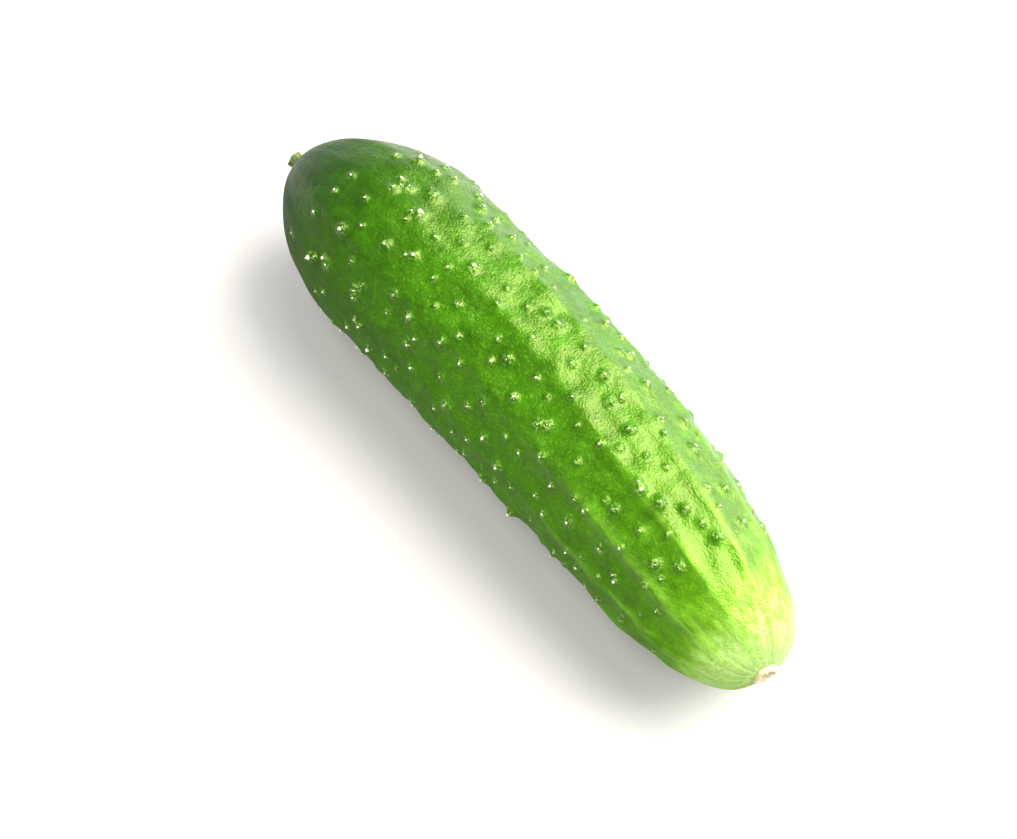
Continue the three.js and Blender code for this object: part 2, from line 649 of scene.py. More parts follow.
    def swells(self, u: Array, angle: Array) -> Array:
        """Height of lumps and ripples, dying out where the fruit narrows to its tips.

        Args:
            u: station of each place.
            angle: angle of each place.

        Returns:
            The height at each place.
        """
        distance = u * self.length
        height = self.lumps.at(distance, angle, self.radius)
        height = height + self.ripples.at(distance, angle, self.radius)
        return height * smoothstep(u, *self.swells_grow) * (1.0 - smoothstep(u, *self.swells_fade))

    def press(self, points: Array) -> Array:
        """Flattens what would go below the floor, with a rounded edge to the flat strip.

        The height becomes (z + b)^2 / 4b where z is between -b and b, and 0 below that.

        Args:
            points: rows of x, y, z.

        Returns:
            The points with their new heights.
        """
        b = self.press_blend
        z = points[..., 2]
        rounded = (np.clip(z, -b, b) + b) ** 2 / (4.0 * b)
        pressed = points.copy()
        pressed[..., 2] = np.where(z > b, z, rounded)
        return pressed


@dataclass(frozen=True)
class Puckers:
    """Fine grooves that run together at a tip, as narrow dips of cosines with uneven depth.

    The grooves wander to and fro by sine waves of 3 and 7 around, and a sine wave of 5 around makes
    some of them shallower than others. The radii say where on the narrowing tip they are seen.
    """

    tip: Tip
    grooves: int
    depth: float
    from_radius: float
    full_radius: float
    fading_radius: float
    gone_radius: float
    sharpness: float = 5.0
    phase: float = 0.0

    def at(self, form: FruitForm, u: Array, angle: Array) -> Array:
        """Height of the grooves, which is negative, at each place.

        Args:
            form: the fruit that they are on.
            u: station of each place.
            angle: angle of each place.

        Returns:
            Minus the depth where a groove is deepest, and 0 away from the tip.
        """
        radius = form.body_radius(u)
        near = smoothstep(radius, self.from_radius, self.full_radius)
        near = near * (1.0 - smoothstep(radius, self.fading_radius, self.gone_radius))
        on_side = u > 0.5 if self.tip is Tip.BLOSSOM else u < 0.5
        wander = 0.35 * np.sin(3.0 * angle + self.phase)
        wander = wander + 0.2 * np.sin(7.0 * angle + 2.0 * self.phase)
        line = (0.5 + 0.5 * np.cos(self.grooves * angle + self.phase + wander)) ** self.sharpness
        uneven = 0.65 + 0.35 * np.sin(5.0 * angle + 3.0 * self.phase)
        return -self.depth * line * uneven * near * on_side


def big_or_small(is_big: Array, big: Span, small: Span, share: Array) -> Array:
    """Size of each wart or spine, from low at share 0 to high at share 1 of its own range.

    Args:
        is_big: whether each one is a big one.
        big: range of the big ones.
        small: range of the small ones.
        share: place of each one in its range, between 0 and 1.

    Returns:
        The sizes.
    """
    return np.where(is_big, *(low + (high - low) * share for low, high in (big, small)))


@dataclass
class WartField:
    """Where the warts are, how big each one is, and which have a twin.

    Warts follow a golden-angle spiral along the fruit, each nudged off its place, and they thin
    out towards the tips. The big ones stand where the CAD solid has its low points.

    A wart is a knob on a wide foot, with a dip around it. Each of these falls off with the distance
    from the wart's middle, and the dip's place and width are in shares of the wart's reach.
    """

    form: FruitForm
    count: int = 430
    first: float = 0.07
    last: float = 0.93
    full: Span = (0.20, 0.82)
    nudge: float = 1.9
    big_share: float = 0.36
    clearance: float = 0.8
    big_reach: Span = (0.82, 1.15)
    big_height: Span = (0.46, 0.66)
    small_reach: Span = (0.55, 0.80)
    small_height: Span = (0.26, 0.42)
    twin_share: float = 0.14
    twin_gap: float = 1.35
    knob_share: float = 0.75
    knob_fall: float = 1.3
    foot_fall: float = 0.7
    dip: float = 0.07
    dip_place: float = 2.0
    dip_width: float = 0.5
    dark_fall: float = 0.75
    small_darkness: float = 0.6
    u: Array = field(init=False, repr=False)
    angle: Array = field(init=False, repr=False)
    reach: Array = field(init=False, repr=False)
    height: Array = field(init=False, repr=False)
    is_big: Array = field(init=False, repr=False)
    index: Array = field(init=False, repr=False)

    def __post_init__(self) -> None:
        """Works out every wart once."""
        index = np.arange(self.count, dtype=float)
        along = (scatter(index, Draw.ALONG) - 0.5) * 2.0 * self.nudge
        across = (scatter(index, Draw.ACROSS) - 0.5) * 2.0 * self.nudge
        spread = (index + 0.5) / self.count
        u = self.first + (self.last - self.first) * spread + along / self.form.length
        angle = (index * GOLDEN_ANGLE + across / self.form.radius) % TURN
        rising = smoothstep(u, self.first, self.full[0])
        falling = 1.0 - smoothstep(u, self.full[1], self.last)
        kept = scatter(index, Draw.KEPT) < rising * falling
        index, u, angle = index[kept], u[kept], angle[kept]
        is_big = scatter(index, Draw.BIG) < self.big_share

        twin = is_big & (scatter(index, Draw.TWIN) < self.twin_share)
        turn = scatter(index[twin], Draw.TWIN_TURN) * TURN
        u = np.concatenate([u, u[twin] + self.twin_gap * np.cos(turn) / self.form.length])
        beside = angle[twin] + self.twin_gap * np.sin(turn) / self.form.radius
        angle = np.concatenate([angle, beside])
        index = np.concatenate([index, index[twin] + self.count])
        is_big = np.concatenate([is_big, np.zeros(twin.sum(), dtype=bool)])

        clear = self.form.base(u, angle)[:, 2] > self.clearance
        self.index, self.u, self.angle = index[clear], u[clear], angle[clear]
        self.is_big = is_big[clear]
        reach_share = scatter(self.index, Draw.REACH)
        height_share = scatter(self.index, Draw.HEIGHT)
        self.reach = big_or_small(self.is_big, self.big_reach, self.small_reach, reach_share)
        self.height = big_or_small(self.is_big, self.big_height, self.small_height, height_share)

    def at(self, u: Array, angle: Array) -> tuple[Array, Array, Array]:
        """Height, darkness and tops that the warts give to each place.

        With d for the distance from a wart's middle as a share of its reach, the knob is
        exp(-fall * d^3), the foot and its darkness are exp(-fall * d^2), and the dip is a bell
        curve around its place.

        Args:
            u: station of each place.
            angle: angle of each place.

        Returns:
            The height in millimetres, the darkness of the foot and the nearness to a wart's top,
            both between 0 and 1.
        """
        raised = np.zeros(u.shape)
        dark = np.zeros(u.shape)
        top = np.zeros(u.shape)
        radius = self.form.body_radius(u)
        for place in range(len(self.u)):
            along = (u - self.u[place]) * self.form.length
            turned = (angle - self.angle[place] + math.pi) % TURN - math.pi
            apart = np.sqrt(along**2 + (turned * radius) ** 2) / self.reach[place]
            knob = np.exp(-self.knob_fall * apart**3)
            foot = np.exp(-self.foot_fall * apart**2)
            shape = self.knob_share * knob + (1.0 - self.knob_share) * foot
            dipped = self.dip * np.exp(-(((apart - self.dip_place) / self.dip_width) ** 2))
            raised += self.height[place] * (shape - dipped)
            darkness = 1.0 if self.is_big[place] else self.small_darkness
            dark = np.maximum(dark, darkness * np.exp(-self.dark_fall * apart**2))
            top = np.maximum(top, knob)
        return raised, dark, top


# ---------------------------------------------------------------------------------------------
# Finishes
# ---------------------------------------------------------------------------------------------


@dataclass(frozen=True)
class SkinFinish:
    """Waxy skin: blue-green at the stem end, its grey-blue tip partly a painted reflection, mid
    green along the body, pale at the blossom end.

    A span gives where something starts and where it is full: a cut is a span of a pattern's
    values, and the other spans are stations. A scale is in waves per millimetre of skin. A stretch
    multiplies it along x and y, which go around the fruit, and along z, which goes along it. A
    share is the most that a mark covers of what is under it.
    """

    stops: Stops = (
        # The stem tip's grey-blue is partly its own dark blue-green and partly a painted reflection
        # of grazing haze.
        (0.00, (0.016, 0.040, 0.028)),
        (0.05, (0.009, 0.037, 0.011)),
        (0.10, (0.012, 0.055, 0.003)),
        (0.14, (0.015, 0.064, 0.001)),
        (0.20, (0.018, 0.084, 0.0005)),
        (0.35, (0.024, 0.108, 0.0005)),
        (0.60, (0.028, 0.120, 0.0005)),
        (0.80, (0.036, 0.140, 0.0005)),
        (0.88, (0.055, 0.182, 0.001)),
        (0.915, (0.102, 0.262, 0.010)),
        (0.945, (0.190, 0.385, 0.045)),
        (0.975, (0.325, 0.525, 0.140)),
    )
    wart_green: Colour = (0.018, 0.105, 0.002)
    wart_share: float = 0.60
    rib_green: Colour = (0.165, 0.390, 0.030)
    rib_share: float = 0.75
    rib_narrowness: float = 3.0
    ribs_pale: Span = (0.55, 0.97)
    stripe_cut: Span = (0.36, 0.60)
    # Pale flecks: partly the skin's own specks, partly painted sparkle.
    fleck_and_sparkle_green: Colour = (0.090, 0.280, 0.006)
    fleck_and_sparkle_scale: float = 2.2
    fleck_and_sparkle_share: float = 0.35
    fleck_and_sparkle_cut: Span = (0.54, 0.68)
    flecks_and_sparkle_start: Span = (0.08, 0.40)
    hair_share: float = 0.05
    hair_cut: Span = (0.56, 0.74)
    # Pale crumbs on wart tops: partly the tips' own paler colour, partly painted glints.
    crumb_and_glint_green: Colour = (0.300, 0.480, 0.120)
    crumb_and_glint_scale: float = 1.9
    crumb_and_glint_share: float = 0.75
    crumb_and_glint_cut: Span = (0.50, 0.62)
    cloud_scale: float = 0.16
    cloud_stretch: Factors = (1.0, 1.0, 0.45)
    cloud_drift: float = 0.06
    streak_scale: float = 0.9
    streak_stretch: Factors = (1.0, 1.0, 0.06)
    streak_drift: float = 0.09
    hair_scale: float = 2.4
    hair_stretch: Factors = (1.0, 1.0, 0.05)
    # Painted shade, then painted light, on the belly side: the paling is held back and then pushed
    # on.
    belly_painted_shade_span: Span = (0.80, 0.90)
    belly_painted_shade: float = 0.030
    belly_painted_light_span: Span = (0.90, 0.97)
    belly_painted_light: float = 0.045
    blotch_scale: float = 0.22
    mottle_fades: Span = (0.86, 0.96)
    mottle_loss: float = 0.65
    grain_shade: float = 0.35
    roughness: float = 0.27
    grain_dullness: float = 0.12
    belly_dullness: float = 0.50
    bloom_dullness: float = 0.24
    bloom_ends: Span = (0.02, 0.16)
    gloss: float = 0.62
    gloss_tint: Colour = (0.88, 0.96, 0.36)
    grain: Grain = Grain(coarse=0.85, fine=2.8, fine_share=0.85)
    grain_depth: float = 0.15
    skin_grain: float = 0.9
    top_grain: float = 1.6
    furrow_share: float = 0.35
    furrows_end: Span = (0.10, 0.34)

    def ground(
        self, w: Wiring, skin: Socket, station: Socket, belly: Socket, streak: Socket
    ) -> Socket:
        """Green of the bare skin, its steps pushed to and fro by clouds and streaks.

        On the belly side the paling starts later and then goes faster: painted shade on the shaded
        underside before the blossom end, then painted light on it at the tip.

        Args:
            w: the material's nodes.
            skin: place on the skin, in millimetres.
            station: station along the fruit.
            belly: 1 in the middle of the belly side.
            streak: pattern of long streaks.

        Returns:
            The colour.
        """
        cloud = w.noise(w.scaled(skin, self.cloud_stretch), self.cloud_scale, detail=3.0)
        wobble = w.math("MULTIPLY", w.math("SUBTRACT", cloud, 0.5), self.cloud_drift)
        drift = w.math("MULTIPLY", w.math("SUBTRACT", streak, 0.5), self.streak_drift)
        place = w.math("ADD", station, w.math("ADD", wobble, drift))
        # Painted shade then painted light on the belly side, by moving where the paling falls.
        painted_shade_shift = w.math("MULTIPLY", w.ramped(station, *self.belly_painted_shade_span), -self.belly_painted_shade)
        painted_light_share = w.ramped(station, *self.belly_painted_light_span)
        painted_light_and_shade_shift = w.math("MULTIPLY_ADD", painted_light_share, self.belly_painted_light, painted_shade_shift)
        return w.colour_ramp(w.math("MULTIPLY_ADD", belly, painted_light_and_shade_shift, place), self.stops)

    def marked(
        self,
        w: Wiring,
        colour: Socket,
        skin: Socket,
        station: Socket,
        streak: Socket,
        hairs: Socket,
    ) -> Socket:
        """Adds pale stripes on the ribs towards the blossom end, hair-thin streaks and flecks, the
        flecks partly the skin's own pale specks and partly painted sparkle.

        Args:
            w: the material's nodes.
            colour: colour of the bare skin.
            skin: place on the skin, in millimetres.
            station: station along the fruit.
            streak: pattern of long streaks.
            hairs: pattern of thin streaks.

        Returns:
            The colour with its marks.
        """
        crest = w.math("POWER", w.attribute("rib"), self.rib_narrowness)
        stripe = w.math("MULTIPLY", crest, w.ramped(streak, *self.stripe_cut))
        paling = w.math("MULTIPLY", w.ramped(station, *self.ribs_pale), self.rib_share)
        colour = w.mixed(w.math("MULTIPLY", stripe, paling), colour, self.rib_green)
        hair = w.math("MULTIPLY", w.ramped(hairs, *self.hair_cut), self.hair_share)
        # Flecks: partly the skin's own pale specks, partly painted sparkle.
        speck = w.noise(skin, self.fleck_and_sparkle_scale, detail=1.0)
        fleck_and_sparkle = w.math("MULTIPLY", w.ramped(speck, *self.fleck_and_sparkle_cut), self.fleck_and_sparkle_share)
        fleck_and_sparkle = w.math("MULTIPLY", fleck_and_sparkle, w.ramped(station, *self.flecks_and_sparkle_start))
        return w.mixed(w.math("MAXIMUM", hair, fleck_and_sparkle), colour, self.fleck_and_sparkle_green)

    def mottled(
        self, w: Wiring, colour: Socket, skin: Socket, station: Socket, shade: Socket
    ) -> Socket:
        """Multiplies the colour by 1 plus blotches and grain, which fade on the pale end.

        Args:
            w: the material's nodes.
            colour: colour so far.
            skin: place on the skin, in millimetres.
            station: station along the fruit.
            shade: shade of the fine grain.

        Returns:
            The mottled colour.
        """
        blotch = w.math("SUBTRACT", w.noise(skin, self.blotch_scale, detail=2.0), 0.5)
        mottle = w.math("MULTIPLY_ADD", w.math("SUBTRACT", shade, 0.5), self.grain_shade, blotch)
        fading = w.ramped(station, *self.mottle_fades)
        clean = w.math("MULTIPLY_ADD", fading, -self.mottle_loss, 1.0)
        factor = w.math("MULTIPLY_ADD", mottle, clean, 1.0)
        grey = w.add("ShaderNodeCombineColor")
        for socket in grey.inputs[:3]:
            w.feed(socket, factor)
        return w.mixed(1.0, colour, grey.outputs[0], blend="MULTIPLY")

    def warty(self, w: Wiring, colour: Socket, skin: Socket, top: Socket) -> Socket:
        """Darkens the feet of the warts and puts pale crumbs on their tops, partly the tips' own
        paler colour and partly a painted glint.

        Args:
            w: the material's nodes.
            colour: colour so far.
            skin: place on the skin, in millimetres.
            top: nearness to a wart's top.

        Returns:
            The colour with its warts.
        """
        foot = w.math("MULTIPLY", w.attribute("wart"), self.wart_share)
        colour = w.mixed(foot, colour, self.wart_green)
        # Painted glints: pale crumbs on the wart tops, partly also the tips' own paler colour.
        crumb_and_glint = w.ramped(w.noise(skin, self.crumb_and_glint_scale, detail=1.0), *self.crumb_and_glint_cut)
        share = w.math("MULTIPLY", w.math("MULTIPLY", top, crumb_and_glint), self.crumb_and_glint_share)
        return w.mixed(share, colour, self.crumb_and_glint_green)

    def dullness(
        self, w: Wiring, station: Socket, belly: Socket, top: Socket, shade: Socket
    ) -> Socket:
        """Roughness, higher on the belly and under the bloom of the stem end, but not on warts.

        Args:
            w: the material's nodes.
            station: station along the fruit.
            belly: 1 in the middle of the belly side.
            top: nearness to a wart's top.
            shade: shade of the fine grain.

        Returns:
            The roughness.
        """
        bare = w.math("SUBTRACT", 1.0, top)
        bloom = w.math("SUBTRACT", 1.0, w.ramped(station, *self.bloom_ends))
        dull = w.math("MULTIPLY", belly, self.belly_dullness)
        dull = w.math("MAXIMUM", dull, w.math("MULTIPLY", bloom, self.bloom_dullness))
        uneven = w.math("SUBTRACT", shade, 0.5)
        rough = w.math("MULTIPLY_ADD", uneven, self.grain_dullness, self.roughness)
        return w.math("MULTIPLY_ADD", dull, bare, rough)

    def relief(
        self, w: Wiring, station: Socket, top: Socket, height: Socket, hairs: Socket
    ) -> Socket:
        """Normal from the grain, stronger on warts, and from fine furrows on the stem side.

        Args:
            w: the material's nodes.
            station: station along the fruit.
            top: nearness to a wart's top.
            height: height of the fine grain.
            hairs: pattern of thin streaks.

        Returns:
            The normal.
        """
        stem_side = w.math("SUBTRACT", 1.0, w.ramped(station, *self.furrows_end))
        furrows = w.math("MULTIPLY", hairs, w.math("MULTIPLY", stem_side, self.furrow_share))
        strength = w.math("MULTIPLY_ADD", top, self.top_grain, self.skin_grain)
        bump = w.add("ShaderNodeBump")
        bump.inputs["Strength"].default_value = 1.0
        bump.inputs["Distance"].default_value = self.grain_depth * MM
        grainy = w.math("MULTIPLY", height, strength)
        w.feed(bump.inputs["Height"], w.math("ADD", grainy, furrows))
        return bump.outputs[0]

    def make(self) -> bpy.types.Material:
        """Builds the material. Patterns read the skin's own vector, in millimetres on the skin.

        Returns:
            The material.
        """
        material, w, shader = new_material("skin")
        skin = w.attribute("skin_mm", "Vector")
        station = w.attribute("station")
        belly = w.attribute("belly")
        top = w.attribute("top")
        streak = w.noise(w.scaled(skin, self.streak_stretch), self.streak_scale, detail=2.0)
        hairs = w.noise(w.scaled(skin, self.hair_stretch), self.hair_scale, detail=1.0)
        grain = self.grain.place(w, skin)
        shade = grain.outputs["Shade"]

        colour = self.ground(w, skin, station, belly, streak)
        colour = self.marked(w, colour, skin, station, streak, hairs)
        colour = self.mottled(w, colour, skin, station, shade)
        colour = self.warty(w, colour, skin, top)
        normal = self.relief(w, station, top, grain.outputs["Height"], hairs)

        w.feed(shader.inputs["Base Color"], colour)
        w.feed(shader.inputs["Roughness"], self.dullness(w, station, belly, top, shade))
        shader.inputs["Specular IOR Level"].default_value = self.gloss
        shader.inputs["Specular Tint"].default_value = (*self.gloss_tint, 1.0)
        w.feed(shader.inputs["Normal"], normal)
        return material


@dataclass(frozen=True)
class SpineFinish:
    """Glassy cream of the spines, greener at the foot."""

    foot: Colour = (0.16, 0.32, 0.05)
    tip: Colour = (0.78, 0.82, 0.60)
    paling: Span = (0.0, 0.55)
    speck_scale: float = 0.9
    speck_drift: float = 0.5
    roughness: float = 0.22

    def make(self) -> bpy.types.Material:
        """Builds the material from the height kept along each spine.

        Returns:
            The material.
        """
        material, w, shader = new_material("spine")
        raised = w.attribute("raised")
        where = w.add("ShaderNodeTexCoord").outputs["Object"]
        speck = w.math("SUBTRACT", w.noise(where, self.speck_scale / MM), 0.5)
        place = w.math("MULTIPLY_ADD", speck, self.speck_drift, raised)
        colour = w.mixed(w.ramped(place, *self.paling), self.foot, self.tip)
        w.feed(shader.inputs["Base Color"], colour)
        shader.inputs["Roughness"].default_value = self.roughness
        return material


@dataclass(frozen=True)
class FibreFinish:
    """Dry plant tissue: two tones, streaked along the fruit, darker in its hollows."""

    name: str
    light: Colour
    dark: Colour
    hollow: Colour
    roughness: float
    streaks: Factors
    grain: Grain
    grain_depth: float
    grain_shade: float = 0.35
    streak_cut: Span = (0.35, 0.65)
    streak_dullness: float = 0.15

    def make(self) -> bpy.types.Material:
        """Builds the material from the hollow value kept on the piece and streaks of noise.

        Returns:
            The material.
        """
        material, w, shader = new_material(self.name)
        where = w.add("ShaderNodeTexCoord").outputs["Object"]
        millimetres = w.scaled(where, (1.0 / MM, 1.0 / MM, 1.0 / MM))
        streak = w.noise(w.scaled(millimetres, self.streaks), 1.0, detail=3.0)
        grain = self.grain.place(w, millimetres)
        tone = w.mixed(w.ramped(streak, *self.streak_cut), self.dark, self.light)
        speckle = w.math("MULTIPLY", grain.outputs["Shade"], self.grain_shade)
        tone = w.mixed(speckle, tone, self.dark)
        tone = w.mixed(w.attribute("hollow"), tone, self.hollow)
        w.feed(shader.inputs["Base Color"], tone)
        rough = w.math("MULTIPLY_ADD", streak, self.streak_dullness, self.roughness)
        w.feed(shader.inputs["Roughness"], rough)
        bump = w.add("ShaderNodeBump")
        bump.inputs["Distance"].default_value = self.grain_depth * MM
        w.feed(bump.inputs["Height"], w.math("ADD", grain.outputs["Height"], streak))
        w.feed(shader.inputs["Normal"], bump.outputs[0])
        return material


STALK_FINISH = FibreFinish(
    name="stalk",
    light=(0.18, 0.23, 0.06),
    dark=(0.05, 0.085, 0.02),
    hollow=(0.20, 0.18, 0.07),
    roughness=0.65,
    streaks=(0.25, 2.2, 2.2),
    grain=Grain(coarse=1.6, fine=6.0, fine_share=0.5),
    grain_depth=0.08,
)
CORK_FINISH = FibreFinish(
    name="cork",
    light=(0.72, 0.67, 0.45),
    dark=(0.56, 0.44, 0.26),
    hollow=(0.05, 0.035, 0.02),
    roughness=0.75,
    streaks=(1.0, 1.0, 1.0),
    grain=Grain(coarse=2.4, fine=8.0, fine_share=0.6),
    grain_depth=0.10,
)


# ---------------------------------------------------------------------------------------------
# Pieces
# ---------------------------------------------------------------------------------------------


@dataclass
class Skin:
    """The fruit's skin, one closed surface with its ribs, lumps, warts and puckered tips."""

    form: FruitForm
    warts: WartField
    rings: int = 384
    sides: int = 256
    outline_steps: int = 6000
    puckers: tuple[Puckers, ...] = (
        Puckers(Tip.BLOSSOM, grooves=22, depth=0.10, from_radius=1.2, full_radius=3.5,
                fading_radius=6.5, gone_radius=13.5, phase=0.8),
        Puckers(Tip.BLOSSOM, grooves=13, depth=0.10, from_radius=1.5, full_radius=4.0,
                fading_radius=9.0, gone_radius=15.0, sharpness=8.0, phase=2.3),
        Puckers(Tip.STEM, grooves=17, depth=0.10, from_radius=0.8, full_radius=3.0,
                fading_radius=6.0, gone_radius=14.0, phase=1.7),
    )
    shift: Array = field(init=False, repr=False)

    def stations(self) -> Array:
        """Stations of the rings, evenly spaced along the plain body's outline, tips left out.

        Returns:
            One station for each ring.
        """
        fine = (1.0 - np.cos(np.linspace(0.0, math.pi, self.outline_steps))) / 2.0
        steps = np.hypot(np.diff(fine) * self.form.length, np.diff(self.form.body_radius(fine)))
        walked = np.concatenate([[0.0], np.cumsum(steps)])
        even = np.linspace(0.0, walked[-1], self.rings + 2)[1:-1]
        return np.interp(even, walked, fine)

    def surface(self, u: Array, angle: Array) -> tuple[Array, Array, Array]:
        """Raises warts, swells and puckers from the base surface along its normal.

        Args:
            u: station of each place.
            angle: angle of each place.

        Returns:
            The points of the finished skin, the darkness of the warts' feet and the nearness to
            their tops.
        """
        raised, dark, top = self.warts.at(u, angle)
        height = raised + self.form.swells(u, angle)
        for pucker in self.puckers:
            height = height + pucker.at(self.form, u, angle)
        points = self.form.base(u, angle) + self.form.normal(u, angle) * height[..., None]
        return self.form.press(points), dark, top

    def build(self) -> bpy.types.Object:
        """Builds the mesh and keeps the values that the finish reads.

        Returns:
            The skin, standing for the CAD fruit and placed on it.
        """
        u, angle = np.meshgrid(
            self.stations(), np.arange(self.sides) * TURN / self.sides, indexing="ij"
        )
        points, dark, top = self.surface(u, angle)
        poles = self.form.centre(np.array([0.0, 1.0]))
        points = np.concatenate([points.reshape(-1, 3), poles])
        low, high = (np.array(corner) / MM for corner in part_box("fruit"))
        middle = (points.min(axis=0) + points.max(axis=0)) / 2.0
        self.shift = np.array([*((low + high) / 2.0 - middle)[:2], low[2] - points[:, 2].min()])
        skin = store_mesh("skin", points + self.shift, *grid_corners(self.rings, self.sides))

        def with_poles(values: Array, stem: float, blossom: float) -> Array:
            """Adds the two poles' values behind the grid's."""
            return np.concatenate([values.ravel(), [stem, blossom]])

        store_value(skin, "station", with_poles(u, 0.0, 1.0))
        store_value(skin, "wart", with_poles(dark, 0.0, 0.0))
        store_value(skin, "top", with_poles(top, 0.0, 0.0))
        store_value(skin, "rib", with_poles(self.form.rib_crest(u, angle), 0.5, 0.5))
        belly = np.broadcast_to(self.form.belly_share(angle), u.shape)
        store_value(skin, "belly", with_poles(belly, 0.5, 0.5))
        radius = np.maximum(self.form.body_radius(u), 1.0)
        pattern = np.stack(
            [radius * np.cos(angle), radius * np.sin(angle), u * self.form.length], axis=-1
        )
        ends = np.array([[0.0, 0.0, 0.0], [0.0, 0.0, self.form.length]])
        store_vector(skin, "skin_mm", np.concatenate([pattern.reshape(-1, 3), ends]))
        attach(skin, BODY)
        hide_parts("fruit")
        return skin

    def dress(self, skin: bpy.types.Object, finish: SkinFinish) -> None:
        """Gives the skin its finish."""
        skin.data.materials.append(finish.make())


@dataclass
class Spines:
    """The blunt pale spines, one on each wart, all in one mesh.

    A spine is a bead whose radius follows a sine to a power up its height, and it tapers towards
    its tip. The gaps are those between the last rings and the bead's two ends, in steps from ring
    to ring. Each spine has its own size and lean. The rarity is the power of the draw that gives
    the size: the higher it is, the fewer spines are near the top of their range.
    """

    skin: Skin
    levels: int = 5
    sides: int = 8
    foot_gap: float = 0.35
    tip_gap: float = 0.45
    fullness: float = 0.8
    taper: float = 0.35
    big_radius: Span = (0.10, 0.38)
    small_radius: Span = (0.08, 0.26)
    rarity: float = 1.8
    stem_side_growth: float = 0.5
    growth_ends: Span = (0.1, 0.5)
    slimness: Span = (0.50, 0.85)
    sunk: float = 0.35
    lean: float = 0.35
    least_height: float = 1.6

    def build(self) -> bpy.types.Object:
        """Builds all spines as whole arrays of one bead.

        Returns:
            The spines, riding on the same body as the skin.
        """
        warts = self.skin.warts
        points = self.skin.surface(warts.u, warts.angle)[0]
        clear = points[:, 2] > self.least_height
        foot, index, is_big = points[clear], warts.index[clear], warts.is_big[clear]
        normal = self.skin.form.normal(warts.u, warts.angle)[clear]
        along = self.skin.form.heading(warts.u)[clear]
        across = unit(np.cross(normal, along))
        tilt_along = (scatter(index, Draw.LEAN_ALONG) - 0.5) * 2.0 * self.lean
        tilt_across = (scatter(index, Draw.LEAN_ACROSS) - 0.5) * 2.0 * self.lean
        axis = unit(normal + along * tilt_along[:, None] + across * tilt_across[:, None])
        first = unit(np.cross(axis, along))
        second = np.cross(axis, first)

        size = scatter(index, Draw.SPINE_RADIUS) ** self.rarity
        radius = big_or_small(is_big, self.big_radius, self.small_radius, size)
        least, most = self.slimness
        slim = least + (most - least) * scatter(index, Draw.SPINE_SLIMNESS)
        stem_side = 1.0 - smoothstep(warts.u[clear], *self.growth_ends)
        radius = radius * (1.0 + self.stem_side_growth * stem_side)
        tall = 2.0 * radius * slim

        steps = self.foot_gap + (self.levels - 1) + self.tip_gap
        rise = (np.arange(self.levels) + self.foot_gap) / steps
        girth = np.sin(math.pi * rise) ** self.fullness * (1.0 - self.taper * rise)
        turn = np.arange(self.sides) * TURN / self.sides
        ring = (
            first[:, None, None, :] * np.cos(turn)[None, None, :, None]
            + second[:, None, None, :] * np.sin(turn)[None, None, :, None]
        )
        lift = tall[:, None] * (rise - self.sunk)[None, :]
        body = (
            foot[:, None, None, :]
            + axis[:, None, None, :] * lift[:, :, None, None]
            + ring * (radius[:, None] * girth[None, :])[:, :, None, None]
        )
        count = len(foot)
        end_heights = tall[:, None] * np.array([-self.sunk, 1.0])
        ends = foot[:, None, :] + axis[:, None, :] * end_heights[:, :, None]
        points = np.concatenate([body.reshape(count, -1, 3), ends], axis=1)
        each = points.shape[1]
        offsets = (np.arange(count) * each)[:, None, None]
        quads, triangles = grid_corners(self.levels, self.sides)
        spines = store_mesh(
            "spines",
            points.reshape(-1, 3) + self.skin.shift,
            (quads[None] + offsets).reshape(-1, 4),
            (triangles[None] + offsets).reshape(-1, 3),
        )
        raised = np.concatenate([np.repeat(rise, self.sides), [0.0, 1.0]])
        store_value(spines, "raised", np.tile(raised, count))
        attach(spines, BODY)
        return spines

    def dress(self, spines: bpy.types.Object, finish: SpineFinish) -> None:
        """Gives the spines their finish."""
        spines.data.materials.append(finish.make())


@dataclass
class EndPiece:
    """A small piece on one tip: rings around the line of the fruit, closed at both ends."""

    skin: Skin
    tip: Tip
    name: str
    node: str
    slot: str
    sides: int = 96

    def outline(self) -> tuple[Array, Array, Array]:
        """Radius, height beyond the tip and hollow value of each ring. Each piece has its own."""
        raise NotImplementedError

    def shape(self, radius: Array, height: Array, turn: Array) -> tuple[Array, Array]:
        """Final radius and height of each point. Each piece has its own."""
        raise NotImplementedError

    def build(self) -> bpy.types.Object:
        """Builds the piece on its tip.

        Returns:
            The piece, standing for its CAD node.
        """
        form = self.skin.form
        station = np.array([0.0 if self.tip is Tip.STEM else 1.0])
        foot = form.centre(station)[0]
        axis = form.heading(station)[0] * self.tip.value
        first = np.cross(UP, axis)
        ring_radius, ring_height, hollow = self.outline()
        turn = np.arange(self.sides) * TURN / self.sides
        radius, height = self.shape(ring_radius[:, None], ring_height[:, None], turn[None, :])
        points = (
            foot
            + axis * height[..., None]
            + (first * np.cos(turn)[:, None] + UP * np.sin(turn)[:, None]) * radius[..., None]
        )
        poles = foot + axis * np.array([[height[0].mean()], [height[-1].mean()]])
        points = np.concatenate([points.reshape(-1, 3), poles]) + self.skin.shift
        piece = store_mesh(self.name, points, *grid_corners(len(ring_radius), self.sides))
        hollows = np.concatenate([np.repeat(hollow, self.sides), [hollow[0], hollow[-1]]])
        store_value(piece, "hollow", hollows)
        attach(piece, BODY)
        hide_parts(self.node)
        return piece

    def dress(self, piece: bpy.types.Object, finish: FibreFinish) -> None:
        """Gives the piece its finish."""
        piece.data.materials.append(finish.make())


